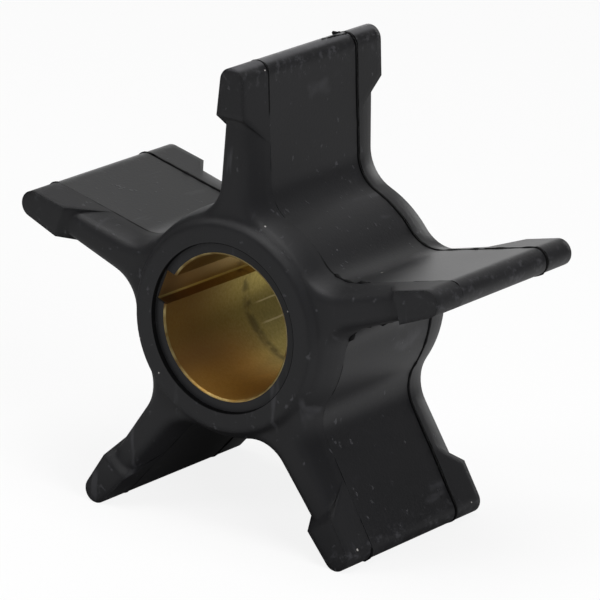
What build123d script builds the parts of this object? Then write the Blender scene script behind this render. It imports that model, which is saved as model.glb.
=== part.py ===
from build123d import *
import os
from math import asin, cos, pi, radians, sin, tan

# Flexible pump impeller: five rubber vanes on a hub, moulded round a keyed brass bush.
# Sizes are in millimetres and angles in degrees. The shaft's axis is Y, the front is -Y and
# up is +Z. The origin is on the shaft's axis, half-way along it. One vane points straight up,
# so the part stands on the tips of the two lowest vanes.

# The whole impeller
tip_radius = 34.3
overall_width = 30.2
vane_count = 5

# The mould's middle plate forms the straight flanks. On each side a cap turns them in by a wide
# arc and then rounds the edge off. Its surface is made of straight strips between sections.
plate_width = 19.2
edge_relief = 1.0
flank_curve = 12.5
edge_rounding = 1.1
flank_strips = 3
rounding_strips = 5

# Hub
hub_radius = 15.4
hub_edge_radius = 13.8
boss_foot_radius = 14.3
boss_face_radius = 13.6
counterbore_radius = 11.15
counterbore_depth = 0.65

# Vanes
crest_radius = 1.78
flank_draft = 4.4
edge_strip_width = 1.66
root_fillet = 5.1
edge_root_fillet = 6.2

# Ears, the full-width blocks at the vane tips
ear_length = 6.4
ear_slope = 36.0

# Brass bush, moulded in
bore_radius = 9.5
bush_wall = 3.0
bush_rim = 0.3
bush_skin = 0.35
bore_chamfer = 0.2
key_width = 4.4
key_depth = 1.35
key_angle = 70.5
flute_count = 8
flute_radius = 0.8

# Worked out from the sizes above
half_width = overall_width / 2
half_plate = plate_width / 2
cap_depth = half_width - half_plate
edge_depth = cap_depth - edge_relief
shoulder_reach = tip_radius - crest_radius * (1 - sin(radians(flank_draft)))
shoulder_half = crest_radius * cos(radians(flank_draft))
ear_inner_radius = tip_radius - ear_length
ear_foot_radius = ear_inner_radius - cap_depth * tan(radians(ear_slope))
cap_vane_reach = ear_inner_radius + ear_length / 2
bush_radius = bore_radius + bush_wall
bush_end = half_width - counterbore_depth
bush_shoulder = bush_end - bush_skin
rounding_start = asin((edge_depth - edge_rounding) / (flank_curve - edge_rounding))
edge_inset = flank_curve - (flank_curve - edge_rounding) * cos(rounding_start)

# Seen from the front: local X is up and local Y is to the left, so angles run counter-clockwise
# from the top vane
front_view = Plane(origin=(0, 0, 0), x_dir=(0, 0, 1), z_dir=(0, -1, 0))

# Half section through the shaft's axis: local X is the radius and local Y is towards the front
half_section = Plane(origin=(0, 0, 0), x_dir=(0, 0, 1), z_dir=(1, 0, 0))


def flank_half(radius):
    """Half the thickness of a vane between its drafted flanks, at this distance from the axis."""
    return shoulder_half + (shoulder_reach - radius) * tan(radians(flank_draft))


def blend(start, end, share):
    """A size part of the way from start to end."""
    return start + (end - start) * share


def crested_vane():
    """A vane of the middle plate, along X: drafted flanks that run into a round crest."""
    with BuildSketch() as vane:
        with BuildLine():
            Polyline(
                (shoulder_reach, shoulder_half),
                (0, flank_half(0)),
                (0, -flank_half(0)),
                (shoulder_reach, -shoulder_half),
            )
            ThreePointArc(
                (shoulder_reach, -shoulder_half),
                (tip_radius, 0),
                (shoulder_reach, shoulder_half),
            )
        make_face()
    return vane.sketch


def cap_sections():
    """Depth of each section of the cap, and the share of the whole inset that it has there."""
    for strip in range(flank_strips):
        turn = rounding_start * strip / flank_strips
        yield flank_curve * sin(turn), flank_curve * (1 - cos(turn)) / edge_inset
    for strip in range(rounding_strips + 1):
        turn = rounding_start + (pi / 2 - rounding_start) * strip / rounding_strips
        yield edge_depth - edge_rounding * (1 - sin(turn)), 1 - edge_rounding * cos(turn) / edge_inset


def cap_vane(share):
    """A vane of the cap, cut short inside the ear, with its flanks turned in by this share."""
    root = blend(flank_half(0), edge_strip_width / 2, share)
    end = blend(flank_half(cap_vane_reach), edge_strip_width / 2, share)
    with BuildSketch() as vane:
        Polygon((0, -root), (cap_vane_reach, -end), (cap_vane_reach, end), (0, root), align=None)
    return vane.sketch


def star_outline(vane, centre_radius, fillet_radius):
    """A round centre with a ring of vanes and their root fillets, seen from the front."""
    with BuildSketch() as star:
        Circle(centre_radius)
        with PolarLocations(0, vane_count):
            add(vane)
        roots = star.vertices().group_by(SortBy.DISTANCE)[0]
        fillet(roots, fillet_radius)
    return star.sketch


full_vane = crested_vane()

# Outside of the bush: flutes along it hold it against turning in the rubber
with BuildSketch() as fluted_circle:
    Circle(bush_radius)
    with PolarLocations(bush_radius, flute_count, key_angle + 180 / flute_count):
        Circle(flute_radius, mode=Mode.SUBTRACT)

# Keyway, from the shaft's axis outwards
with BuildSketch() as key_slot:
    with Locations(Rotation(0, 0, key_angle)):
        Rectangle(bore_radius + key_depth, key_width, align=(Align.MIN, Align.CENTER))

# Ears of the front half
with BuildPart() as ears:
    with BuildSketch(front_view.offset(half_plate)):
        with PolarLocations(0, vane_count):
            add(full_vane)
    extrude(amount=cap_depth)
    with BuildSketch(half_section):
        with BuildLine():
            Polyline(
                (ear_foot_radius, half_plate),
                (ear_inner_radius, half_width),
                (2 * tip_radius, half_width),
                (2 * tip_radius, half_plate),
                close=True,
            )
        make_face()
    revolve(axis=Axis.Y, mode=Mode.INTERSECT)

# Rubber body, made as its front half and mirrored
with BuildPart() as impeller_body:
    with BuildSketch(front_view):
        add(star_outline(full_vane, hub_radius, root_fillet))
    extrude(amount=half_plate)

    # Caps, from the plate to the vane edges
    for depth, share in cap_sections():
        with BuildSketch(front_view.offset(half_plate + depth)):
            add(
                star_outline(
                    cap_vane(share),
                    blend(hub_radius, hub_edge_radius, share),
                    blend(root_fillet, edge_root_fillet, share),
                )
            )
    loft(ruled=True)
    add(ears.part)

    # Boss round the bore, proud of the vane edges
    with BuildSketch(half_section):
        with BuildLine():
            Polyline(
                (0, half_plate),
                (boss_foot_radius, half_plate),
                (boss_foot_radius, half_plate + edge_depth),
                (boss_face_radius, half_width),
                (0, half_width),
                close=True,
            )
        make_face()
    revolve(axis=Axis.Y)

    mirror(about=Plane.XZ)

    # Counterbores, then the seat of the bush with its rims and keyway
    for end in (-half_width, bush_end):
        with BuildSketch(front_view.offset(end)):
            Circle(counterbore_radius)
        extrude(amount=counterbore_depth, mode=Mode.SUBTRACT)
    with BuildSketch(front_view.offset(-bush_shoulder)):
        add(fluted_circle.sketch)
    extrude(amount=2 * bush_shoulder, mode=Mode.SUBTRACT)
    with BuildSketch(front_view.offset(-bush_end)):
        Circle(bore_radius + bush_rim)
        add(key_slot.sketch)
    extrude(amount=2 * bush_end, mode=Mode.SUBTRACT)

# Brass bush
with BuildPart() as hub_bush:
    with BuildSketch(front_view.offset(-bush_shoulder)):
        add(fluted_circle.sketch)
    extrude(amount=2 * bush_shoulder)
    with BuildSketch(front_view.offset(-bush_end)):
        Circle(bore_radius + bush_rim)
    extrude(amount=2 * bush_end)
    with BuildSketch(front_view.offset(-bush_end)):
        Circle(bore_radius)
    extrude(amount=2 * bush_end, mode=Mode.SUBTRACT)
    chamfer(edges(Select.LAST).filter_by(GeomType.CIRCLE), bore_chamfer)
    with BuildSketch(front_view.offset(-bush_end)):
        add(key_slot.sketch)
    extrude(amount=2 * bush_end, mode=Mode.SUBTRACT)

impeller_body.part.label = "impeller_body"
hub_bush.part.label = "hub_bush"

os.makedirs("parts", exist_ok=True)
export_step(impeller_body.part, "parts/impeller_body.step")
export_step(hub_bush.part, "parts/hub_bush.step")
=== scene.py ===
import math
import bmesh
import bpy
from mathutils import Matrix, Vector, noise


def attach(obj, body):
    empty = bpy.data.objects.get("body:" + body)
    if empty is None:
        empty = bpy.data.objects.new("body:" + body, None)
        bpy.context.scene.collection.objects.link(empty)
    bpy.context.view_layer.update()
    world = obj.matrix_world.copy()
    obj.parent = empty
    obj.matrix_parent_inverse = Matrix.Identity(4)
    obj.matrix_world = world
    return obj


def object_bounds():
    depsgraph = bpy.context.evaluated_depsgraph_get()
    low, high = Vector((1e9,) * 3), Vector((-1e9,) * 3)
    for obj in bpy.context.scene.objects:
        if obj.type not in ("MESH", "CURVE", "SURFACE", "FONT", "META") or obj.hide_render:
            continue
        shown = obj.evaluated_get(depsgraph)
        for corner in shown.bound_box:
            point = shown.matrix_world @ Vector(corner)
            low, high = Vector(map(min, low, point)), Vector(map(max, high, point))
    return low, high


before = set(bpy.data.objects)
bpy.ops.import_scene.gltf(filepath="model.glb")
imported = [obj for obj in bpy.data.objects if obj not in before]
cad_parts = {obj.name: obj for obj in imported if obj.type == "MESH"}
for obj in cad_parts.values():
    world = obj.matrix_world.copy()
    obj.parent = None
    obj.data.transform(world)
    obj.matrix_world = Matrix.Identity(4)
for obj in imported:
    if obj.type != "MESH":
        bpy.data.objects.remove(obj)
cad_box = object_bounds()

# Flexible pump impeller: a black rubber body, moulded round a keyed brass bush. The solids come
# from the frame, and this script adds materials, flash, floor, light and camera. Lengths are in
# metres and angles in degrees. The shaft's axis is Y, the front is -Y and up is +Z.

# Sizes of the solids
low, high = (Vector(corner) for corner in cad_box)
tip_radius = high.z
half_width = high.y
parting_y = 0.0096
boss_radius = 0.0136
counterbore_radius = 0.01115
bush_seat_radius = 0.0125
bore_radius = 0.0095
bore_chamfer_y = half_width - 0.00085
keyway_angle = 70.5
keyway_width = 0.0044
keyway_floor = 0.01085
keyway_mouth = math.sqrt(bore_radius ** 2 - (keyway_width / 2) ** 2)

# Edges, as the radius of their rounding
fine_edge = 0.0002
soft_edge = 0.0012
brass_edge = 0.00008

# Scratches along the bore, by their height
scratch_heights = (-0.0031, -0.0056)

# Flash, the thin bead of rubber that the mould leaves at its parting planes: half its thickness,
# and what varies it. Tears are ranges of angles round the shaft, from the right upwards. The cuts
# that the beads follow lie just inside the middle plate.
back_flash = 0.00016
front_flash = 0.00004
front_flash_cover = 0.4
tip_flash = 0.00022
tip_flash_reach = 0.0012
torn_flash = 0.00019
root_tears = ((-1, 12), (25.5, 34), (138, 145))
flash_step = 0.0004
flash_seed = 1
cut_inset = 0.00004

# Viewpoint: angles round the object and the camera's distance, moved sideways and up in its plane
view_azimuth = 34.945
view_elevation = 17.634
view_roll = -2.496
view_distance = 0.73294
view_shift = (-0.001138, -0.000288)
lens_mm = 340.53
sensor_mm = 36.0

# Light, as brightness where white is 1. The floor's glow is what reflections and bounced light see,
# with a painted shadow under the object and a painted brighter ring round it.
world_glow = 0.02
floor_glow = 0.32
painted_pool_glow = 0.50
painted_shadow_glow_share = 0.04
floor_white_share = 0.86
floor_radius = 1.6


def srgb(*values):
    """A colour written as 0 to 255, turned into the linear values that nodes take."""
    linear = []
    for value in values:
        v = value / 255
        linear.append(v / 12.92 if v <= 0.04045 else ((v + 0.055) / 1.055) ** 2.4)
    return (*linear, 1.0)


class Nodes:
    """A material's node tree, with short calls for what the materials here are made of."""

    def __init__(self, name):
        self.material = bpy.data.materials.new(name)
        self.material.use_nodes = True
        self.tree = self.material.node_tree
        self.tree.nodes.clear()
        self.output = self.node("ShaderNodeOutputMaterial")
        self.position = self.node("ShaderNodeTexCoord").outputs["Object"]

    def node(self, kind, **inputs):
        made = self.tree.nodes.new(kind)
        for name, value in inputs.items():
            self.put(made.inputs[name], value)
        return made

    def put(self, socket, value):
        if isinstance(value, bpy.types.NodeSocket):
            self.tree.links.new(value, socket)
        else:
            socket.default_value = value

    def math(self, operation, *values):
        made = self.node("ShaderNodeMath")
        made.operation = operation
        for socket, value in zip(made.inputs, values):
            self.put(socket, value)
        return made.outputs[0]

    def product(self, first, *others):
        for other in others:
            first = self.math("MULTIPLY", first, other)
        return first

    def largest(self, first, *others):
        for other in others:
            first = self.math("MAXIMUM", first, other)
        return first

    def scaled(self, value, factor, plus):
        return self.math("MULTIPLY_ADD", value, factor, plus)

    def distance(self, a, b):
        return self.math("ABSOLUTE", self.math("SUBTRACT", a, b))

    def length(self, vector):
        made = self.node("ShaderNodeVectorMath", Vector=vector)
        made.operation = "LENGTH"
        return made.outputs["Value"]

    def axis(self, name):
        """One coordinate of the surface point."""
        return self.node("ShaderNodeSeparateXYZ", Vector=self.position).outputs[name]

    def band(self, value, start, end):
        """0 up to start, 1 from end on, smooth between them. It falls where end is below start."""
        made = self.node("ShaderNodeMapRange", Value=value)
        made.interpolation_type = "SMOOTHSTEP"
        if start < end:
            ends = {"From Min": start, "From Max": end, "To Min": 0.0, "To Max": 1.0}
        else:
            ends = {"From Min": end, "From Max": start, "To Min": 1.0, "To Max": 0.0}
        for name, number in ends.items():
            made.inputs[name].default_value = number
        return made.outputs["Result"]

    def mapped(self, stretch=(1, 1, 1), offset=(0, 0, 0)):
        """The surface point as a texture takes it, stretched and moved."""
        made = self.node("ShaderNodeMapping", Vector=self.position, Scale=stretch, Location=offset)
        return made.outputs[0]

    def noise(self, scale, detail=2.0, roughness=0.5, **mapping):
        place = self.mapped(**mapping)
        made = self.node(
            "ShaderNodeTexNoise", Vector=place, Scale=scale, Detail=detail, Roughness=roughness
        )
        return made.outputs["Fac"]

    def specks(self, scale, radius, share, **mapping):
        """Small round specks: one in each cell of size 1 / scale, of which only a share is kept."""
        cells = self.node("ShaderNodeTexVoronoi", Vector=self.mapped(**mapping), Scale=scale)
        near = self.band(cells.outputs["Distance"], radius, radius * 0.5)
        pick = self.node("ShaderNodeSeparateColor", Color=cells.outputs["Color"]).outputs[0]
        return self.product(near, self.math("GREATER_THAN", pick, 1 - share))

    def mix(self, factor, a, b):
        """Colour a where factor is 0 and b where it is 1."""
        made = self.node("ShaderNodeMix")
        made.data_type = "RGBA"
        self.put(made.inputs["Factor"], factor)
        self.put(made.inputs[6], a)
        self.put(made.inputs[7], b)
        return made.outputs[2]

    def tint(self, base, colour, mask, share):
        """The base colour with this one over it where mask is 1, as strongly as share says."""
        return self.mix(self.product(mask, share), base, colour)

    def bump(self, height, distance, normal):
        made = self.node("ShaderNodeBump", Height=height, Distance=distance, Normal=normal)
        return made.outputs["Normal"]

    def soft_edges(self, radius):
        """Normals that round the solid's sharp edges off."""
        made = self.node("ShaderNodeBevel", Radius=radius)
        made.samples = 4
        return made.outputs["Normal"]

    def blend(self, factor, a, b):
        """Surface a where factor is 0 and b where it is 1."""
        made = self.node("ShaderNodeMixShader")
        for socket, value in zip(made.inputs, (factor, a.outputs[0], b.outputs[0])):
            self.put(socket, value)
        return made

    def principled(self, inputs):
        """A Principled surface, whose inputs are given by their names in Blender."""
        made = self.node("ShaderNodeBsdfPrincipled")
        for name, value in inputs.items():
            self.put(made.inputs[name], value)
        return self.finished(made)

    def finished(self, surface):
        self.put(self.output.inputs["Surface"], surface.outputs[0])
        return self.material


def parting_lines(nodes, y):
    """Dark lines at the parting planes, the seams with the flash's shade painted on them: a whole
    one behind and a thinner, patchy one in front.
    """
    wander = 0.00015
    wavy = nodes.math("ADD", y, nodes.scaled(nodes.noise(240), 2 * wander, -wander))
    back = nodes.band(nodes.distance(wavy, parting_y), 0.00046, 0.00022)
    front = nodes.band(nodes.distance(wavy, -parting_y), 0.00022, 0.00008)
    patchy = nodes.band(nodes.noise(160, offset=(0.3, 0, 0)), 0.50, 0.64)
    return nodes.largest(back, nodes.product(front, patchy, 0.8))


def worn_tips(nodes, radius):
    """Small pale patches of wear on the vane tips."""
    tips = nodes.band(radius, tip_radius - 0.0042, tip_radius - 0.0008)
    patches = nodes.band(nodes.noise(900, 4.0, 0.7), 0.52, 0.66)
    return nodes.product(patches, tips, 0.24)


def rubbed_and_highlit_crest(nodes, z):
    """The crest of the top vane, rubbed pale and painted lighter as a highlight."""
    crest = nodes.band(z, tip_radius - 0.0005, tip_radius - 0.0001)
    return nodes.product(crest, nodes.scaled(nodes.noise(400, 3.0), 0.7, 0.35))


def make_rubber():
    """Black moulded rubber: parting lines with painted shade, wear, scuffs, dust and a fine uneven
    sheen, with painted shade on the counterbore's wall and a painted highlight on the top crest.
    """
    nodes = Nodes("moulded_rubber")
    x, y, z = (nodes.axis(name) for name in "XYZ")
    radius = nodes.length(nodes.node("ShaderNodeCombineXYZ", X=x, Z=z).outputs[0])

    # Painted shade: the counterbore's wall is painted nearly black.
    counterbore_wall_shade = nodes.band(nodes.distance(radius, counterbore_radius), 0.00009, 0.00005)
    # The parting lines carry painted shade from the flash along the seams.
    dark = nodes.largest(parting_lines(nodes, y), nodes.product(counterbore_wall_shade, 0.85))
    worn = worn_tips(nodes, radius)
    streaks = nodes.band(nodes.noise(90, 3.0, stretch=(6, 1, 1)), 0.64, 0.74)
    flecks = nodes.band(nodes.noise(900, 2.0, 0.6, offset=(0.1, 0, 0)), 0.66, 0.76)
    scuffs = nodes.largest(nodes.product(streaks, 0.20), nodes.product(flecks, 0.30))
    large_dust = nodes.specks(240, 0.055, 0.10)
    small_dust = nodes.specks(620, 0.10, 0.035, offset=(0.7, 0, 0))

    base = nodes.mix(nodes.noise(60, 3.0), srgb(22, 22, 23), srgb(27, 27, 29))
    base = nodes.mix(nodes.largest(scuffs, worn), base, srgb(84, 84, 88))
    # Painted highlight: the top crest is painted paler, along with its rubbing.
    base = nodes.mix(rubbed_and_highlit_crest(nodes, z), base, srgb(78, 78, 81))
    base = nodes.mix(dark, base, srgb(3, 3, 3))
    base = nodes.mix(nodes.largest(large_dust, small_dust), base, srgb(150, 147, 144))

    front_cap = nodes.band(y, -parting_y + 0.0001, -parting_y - 0.0001)
    roughness = nodes.scaled(nodes.noise(45), 0.10, 0.36)
    roughness = nodes.scaled(front_cap, 0.13, roughness)
    sheen = nodes.product(nodes.math("SUBTRACT", 1.0, dark), 0.5)
    outer = nodes.band(radius, boss_radius - 0.0016, boss_radius - 0.0002)
    edges = nodes.soft_edges(nodes.scaled(outer, soft_edge - fine_edge, fine_edge))
    grain = nodes.bump(nodes.noise(2600), 0.000012, edges)
    relief = nodes.bump(nodes.largest(worn, flecks), 0.00002, grain)
    return nodes.principled(
        {"Base Color": base, "Roughness": roughness, "Specular IOR Level": sheen, "Normal": relief}
    )


def make_flash():
    """The bead at the parting planes: the same rubber, blacker because it lies in its own shade."""
    nodes = Nodes("flash_rubber")
    base = nodes.mix(nodes.noise(300), srgb(4, 4, 4), srgb(18, 18, 19))
    return nodes.principled({"Base Color": base, "Roughness": 0.6, "Specular IOR Level": 0.2})


def bore_shade_ring(nodes, y):
    """A dark, broken ring of painted shade half-way along the bore."""
    line = nodes.scaled(nodes.noise(220), 0.0016, 0.0022)
    near = nodes.band(nodes.distance(y, line), 0.0013, 0.0002)
    return nodes.product(near, nodes.band(nodes.noise(600), 0.30, 0.60))


def bore_scratch(nodes, y, z, height):
    """A thin scratch along the back half of the bore, at about this height."""
    wander = 0.0001
    line = nodes.scaled(nodes.noise(300), 2 * wander, height - wander)
    near = nodes.band(nodes.distance(z, line), 0.00014, 0.00008)
    return nodes.product(near, nodes.band(y, 0.004, 0.006))


def make_brass():
    """Dull brass: olive, orange below and painted brown shade towards the front, with grain, stains
    and scratches, a painted dark ring of shade in the bore and painted highlights on the chamfer
    and the keyway's floor.
    """
    nodes = Nodes("dull_brass")
    x, y, z = (nodes.axis(name) for name in "XYZ")
    grain = nodes.noise(2600, 4.0, 0.7)

    speckle = nodes.band(grain, 0.2, 0.8)
    olive = nodes.mix(speckle, srgb(204, 184, 98), srgb(236, 218, 134))
    orange = nodes.mix(speckle, srgb(232, 176, 84), srgb(250, 200, 108))
    below = nodes.product(nodes.band(z, -0.0030, -0.0080), nodes.band(y, 0.006, -0.005))
    # Painted shade: the brass is painted browner and darker towards the front of the bore.
    front = nodes.product(nodes.band(y, 0.010, -0.010), nodes.band(z, -0.0110, -0.0060))
    stain = nodes.band(nodes.noise(140, 3.0, stretch=(1, 0.35, 1)), 0.50, 0.72)
    base = nodes.mix(below, olive, orange)
    base = nodes.tint(base, srgb(120, 80, 40), front, 0.82)
    base = nodes.tint(base, srgb(122, 98, 48), stain, 0.35)
    # Painted shade: a dark broken ring along the bore.
    base = nodes.tint(base, srgb(58, 48, 26), bore_shade_ring(nodes, y), 0.55)

    turn = math.radians(keyway_angle)
    outward = nodes.scaled(x, -math.sin(turn), nodes.product(z, math.cos(turn)))
    across = nodes.scaled(x, math.cos(turn), nodes.product(z, math.sin(turn)))
    keyway = nodes.band(outward, keyway_mouth - 0.00002, keyway_mouth + 0.00006)
    # Painted light: the keyway's floor is painted paler where light falls on it.
    floor = nodes.band(outward, keyway_floor - 0.00025, keyway_floor - 0.00005)
    base = nodes.tint(base, srgb(190, 116, 74), keyway, 0.20)
    base = nodes.tint(base, srgb(250, 224, 168), floor, 0.35)

    near_corner = nodes.band(nodes.distance(across, -keyway_width / 2), 0.00022, 0.00012)
    deep = nodes.band(outward, keyway_floor - 0.00035, keyway_floor - 0.00015)
    # Painted highlight: the bore's chamfer is painted pale, unevenly. The scratches are real marks,
    # and the keyway's inner corner gets a pale line.
    chamfer_highlight = nodes.band(nodes.math("ABSOLUTE", y), bore_chamfer_y, bore_chamfer_y + 0.00005)
    uneven = nodes.scaled(nodes.noise(600), 1.4, -0.40)
    scratches = [bore_scratch(nodes, y, z, height) for height in scratch_heights]
    pale = nodes.largest(
        nodes.product(chamfer_highlight, uneven), *scratches, nodes.product(near_corner, deep)
    )
    base = nodes.mix(pale, base, srgb(250, 234, 170))
    shaded = nodes.product(keyway, nodes.band(y, -0.0085, -0.0130))
    base = nodes.tint(base, srgb(78, 58, 38), shaded, 0.45)

    roughness = nodes.scaled(grain, 0.12, 0.42)
    relief = nodes.bump(grain, 0.000004, nodes.soft_edges(brass_edge))
    return nodes.principled(
        {"Base Color": base, "Metallic": 0.96, "Roughness": roughness, "Normal": relief}
    )


def paint(node, material):
    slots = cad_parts[node].data.materials
    slots.clear()
    slots.append(material)


def outline_at(node, y):
    """The outer outline of a node where the plane at this y cuts it, as points in order."""
    cut = bmesh.new()
    cut.from_mesh(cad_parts[node].data)
    bmesh.ops.remove_doubles(cut, verts=cut.verts, dist=1e-6)
    everything = cut.verts[:] + cut.edges[:] + cut.faces[:]
    made = bmesh.ops.bisect_plane(cut, geom=everything, plane_co=(0, y, 0), plane_no=(0, 1, 0))
    # The seat of the bush is cut too, and is left out
    neighbours = {}
    for edge in (item for item in made["geom_cut"] if isinstance(item, bmesh.types.BMEdge)):
        start, end = edge.verts
        if min(math.hypot(v.co.x, v.co.z) for v in edge.verts) > 1.05 * bush_seat_radius:
            neighbours.setdefault(start, []).append(end)
            neighbours.setdefault(end, []).append(start)
    first = here = max(neighbours, key=lambda v: v.co.z)
    before = None
    outline = []
    while True:
        outline.append(here.co.copy())
        onward = [v for v in neighbours[here] if v is not before]
        before, here = here, onward[0]
        if here is first:
            break
    cut.free()
    return outline


def evenly_spaced(outline, step):
    """Points at equal steps along a closed outline."""
    points = []
    left = 0.0
    for start, end in zip(outline, outline[1:] + outline[:1]):
        length = (end - start).length
        while left < length:
            points.append(start.lerp(end, left / length))
            left += step
        left -= length
    return points


def ragged(point, scale, mean):
    """A factor that varies from place to place, for the ragged edge of flash."""
    return mean + 0.9 * noise.noise(point * scale)


def add_bead(name, points, sizes, closed):
    """A bead of rubber through these points, with its own half thickness at each."""
    curve = bpy.data.curves.new(name, "CURVE")
    curve.dimensions = "3D"
    curve.bevel_depth = 1.0
    curve.bevel_resolution = 1
    curve.use_fill_caps = not closed
    spline = curve.splines.new("POLY")
    spline.points.add(len(points) - 1)
    spline.use_cyclic_u = closed
    for place, point, size in zip(spline.points, points, sizes):
        place.co = (*point, 1)
        place.radius = size
    bead = bpy.data.objects.new(name, curve)
    bpy.context.collection.objects.link(bead)
    curve.materials.append(make_flash())
    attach(bead, "root")


def flash_bead(name, y, thickness, cover, tears=()):
    """Flash round the rubber body at this y, thicker at the vane tips and where it is torn. Cover
    is the share of it that is there."""
    points = evenly_spaced(outline_at("impeller_body", y), flash_step)
    sizes = []
    for point in points:
        size = thickness
        if noise.noise(point * 260) > 2 * cover - 1:
            size *= 0.15
        at_tip = math.hypot(point.x, point.z) > tip_radius - tip_flash_reach
        if at_tip and noise.noise(point * 420) > -0.25:
            size = max(size, tip_flash)
        turn = math.degrees(math.atan2(point.z, point.x))
        if any(start < turn < end for start, end in tears):
            size = torn_flash * max(0.1, 1 + 3 * noise.noise(point * 1000))
        sizes.append(size * ragged(point, 900, 0.8))
    add_bead(name, points, sizes, closed=True)


def flash_scrap(name, start, end, thickness):
    """A torn scrap of flash between two offsets from the middle of the top crest."""
    crest = Vector((0.0, 0.0, tip_radius))
    start, end = crest + Vector(start), crest + Vector(end)
    count = max(3, round((end - start).length / flash_step) + 1)
    points = [start.lerp(end, i / (count - 1)) for i in range(count)]
    sizes = [thickness * ragged(point, 1500, 0.75) for point in points]
    points = [point + thickness * noise.noise_vector(point * 700) for point in points]
    add_bead(name, points, sizes, closed=False)


def make_floor_white():
    """White with the object's shadow as the camera sees it. Reflections and bounced light see a
    glowing grey with a painted shadow under the object and a painted brighter ring round it."""
    nodes = Nodes("floor_white")
    distance = nodes.length(nodes.position)
    # Painted shadow under the object and a painted brighter ring round it, seen only by reflections
    # and bounced light.
    outside_painted_shadow = nodes.band(distance, 0.018, 0.042)
    outside_painted_shadow = nodes.scaled(outside_painted_shadow, 1 - painted_shadow_glow_share, painted_shadow_glow_share)
    near = nodes.band(distance, 0.17, 0.10)
    level = nodes.scaled(near, painted_pool_glow - floor_glow, floor_glow)
    glow = nodes.node("ShaderNodeEmission", Strength=nodes.product(outside_painted_shadow, level))

    white = nodes.node("ShaderNodeEmission")
    lit = nodes.node("ShaderNodeBsdfDiffuse", Color=srgb(240, 240, 240))
    seen = nodes.blend(floor_white_share, lit, white)
    ray = nodes.node("ShaderNodeLightPath").outputs
    direct = nodes.largest(ray["Is Camera Ray"], ray["Is Transmission Ray"])
    return nodes.finished(nodes.blend(direct, glow, seen))


def make_floor():
    """A round pale floor under the two lowest vane tips."""
    bpy.ops.mesh.primitive_circle_add(vertices=64, radius=floor_radius, fill_type="NGON")
    floor = bpy.context.object
    floor.name = "floor"
    floor.location.z = low.z
    floor.data.materials.append(make_floor_white())


def make_world():
    """A plain dim studio all round."""
    world = bpy.data.worlds.new("studio")
    world.use_nodes = True
    bpy.context.scene.world = world
    background = world.node_tree.nodes["Background"]
    background.inputs["Color"].default_value = (1, 1, 1, 1)
    background.inputs["Strength"].default_value = world_glow


def softbox(name, direction, distance, size, power, height=None, reflected=True):
    """An area lamp that faces the object from this direction. A fill lamp isn't reflected in it."""
    lamp = bpy.data.lights.new(name, "AREA")
    lamp.shape = "RECTANGLE"
    lamp.size = size
    lamp.size_y = height or size
    lamp.energy = power
    holder = bpy.data.objects.new(name, lamp)
    holder.location = Vector(direction).normalized() * distance
    holder.rotation_euler = (-holder.location).to_track_quat("-Z", "Y").to_euler()
    holder.visible_glossy = reflected
    bpy.context.collection.objects.link(holder)


def make_camera():
    """A camera at the photo's viewpoint."""
    azimuth, elevation, roll = (math.radians(a) for a in (view_azimuth, view_elevation, view_roll))
    back = Vector((
        math.sin(azimuth) * math.cos(elevation),
        -math.cos(azimuth) * math.cos(elevation),
        math.sin(elevation),
    ))
    level_right = Vector((math.cos(azimuth), math.sin(azimuth), 0))
    level_up = back.cross(level_right)
    right = level_right * math.cos(roll) - level_up * math.sin(roll)
    up = level_right * math.sin(roll) + level_up * math.cos(roll)
    place = -right * view_shift[0] - up * view_shift[1] + back * view_distance
    data = bpy.data.cameras.new("camera")
    data.sensor_width = sensor_mm
    data.lens = lens_mm
    data.clip_start = 0.01
    camera = bpy.data.objects.new("camera", data)
    turned = Matrix((right, up, back)).transposed().to_4x4()
    camera.matrix_world = Matrix.Translation(place) @ turned
    bpy.context.collection.objects.link(camera)
    bpy.context.scene.camera = camera


paint("impeller_body", make_rubber())
paint("hub_bush", make_brass())

# The seed is for the wobble of the scraps, whose places are offsets from the top crest's middle
noise.seed_set(flash_seed)
flash_bead("flash_back", parting_y - cut_inset, back_flash, cover=1.0)
flash_bead("flash_front", cut_inset - parting_y, front_flash, front_flash_cover, root_tears)
flash_scrap("crest_scrap", (0, 0.0044, 0), (0.0004, 0.0092, 0), 0.00015)
flash_scrap("crest_nub", (-0.0006, 0.0078, 0), (-0.0006, 0.0090, 0), 0.00020)
flash_scrap("tip_scrap", (0.0002, 0.0086, 0), (0.0014, 0.0093, -0.0007), 0.00030)

make_floor()
make_world()
softbox("overhead", (0.0, -0.08, 1.0), distance=0.62, size=0.42, power=2.3)
softbox("overhead_left", (-0.6, 0.0, 0.8), distance=0.65, size=0.35, power=0.42)
softbox("front_right", (0.9, -0.35, 0.25), distance=0.75, size=0.35, power=5.9, reflected=False)
softbox("front_left", (-0.60, -0.75, 0.25), distance=0.75, size=0.35, power=3.4, reflected=False)
softbox("back_left_low", (-0.62, 0.78, 0.16), distance=0.75, size=0.30, power=0.36, height=0.26)
softbox("back_low", (0.0, 0.98, 0.16), distance=0.75, size=0.30, power=0.55, height=0.26)
softbox("back_left_high", (-0.35, 0.78, 0.52), distance=0.75, size=0.35, power=0.19)
softbox("back_high", (0.0, 0.6, 0.8), distance=0.65, size=0.35, power=0.16)
make_camera()
bpy.context.scene.view_settings.view_transform = "Standard"
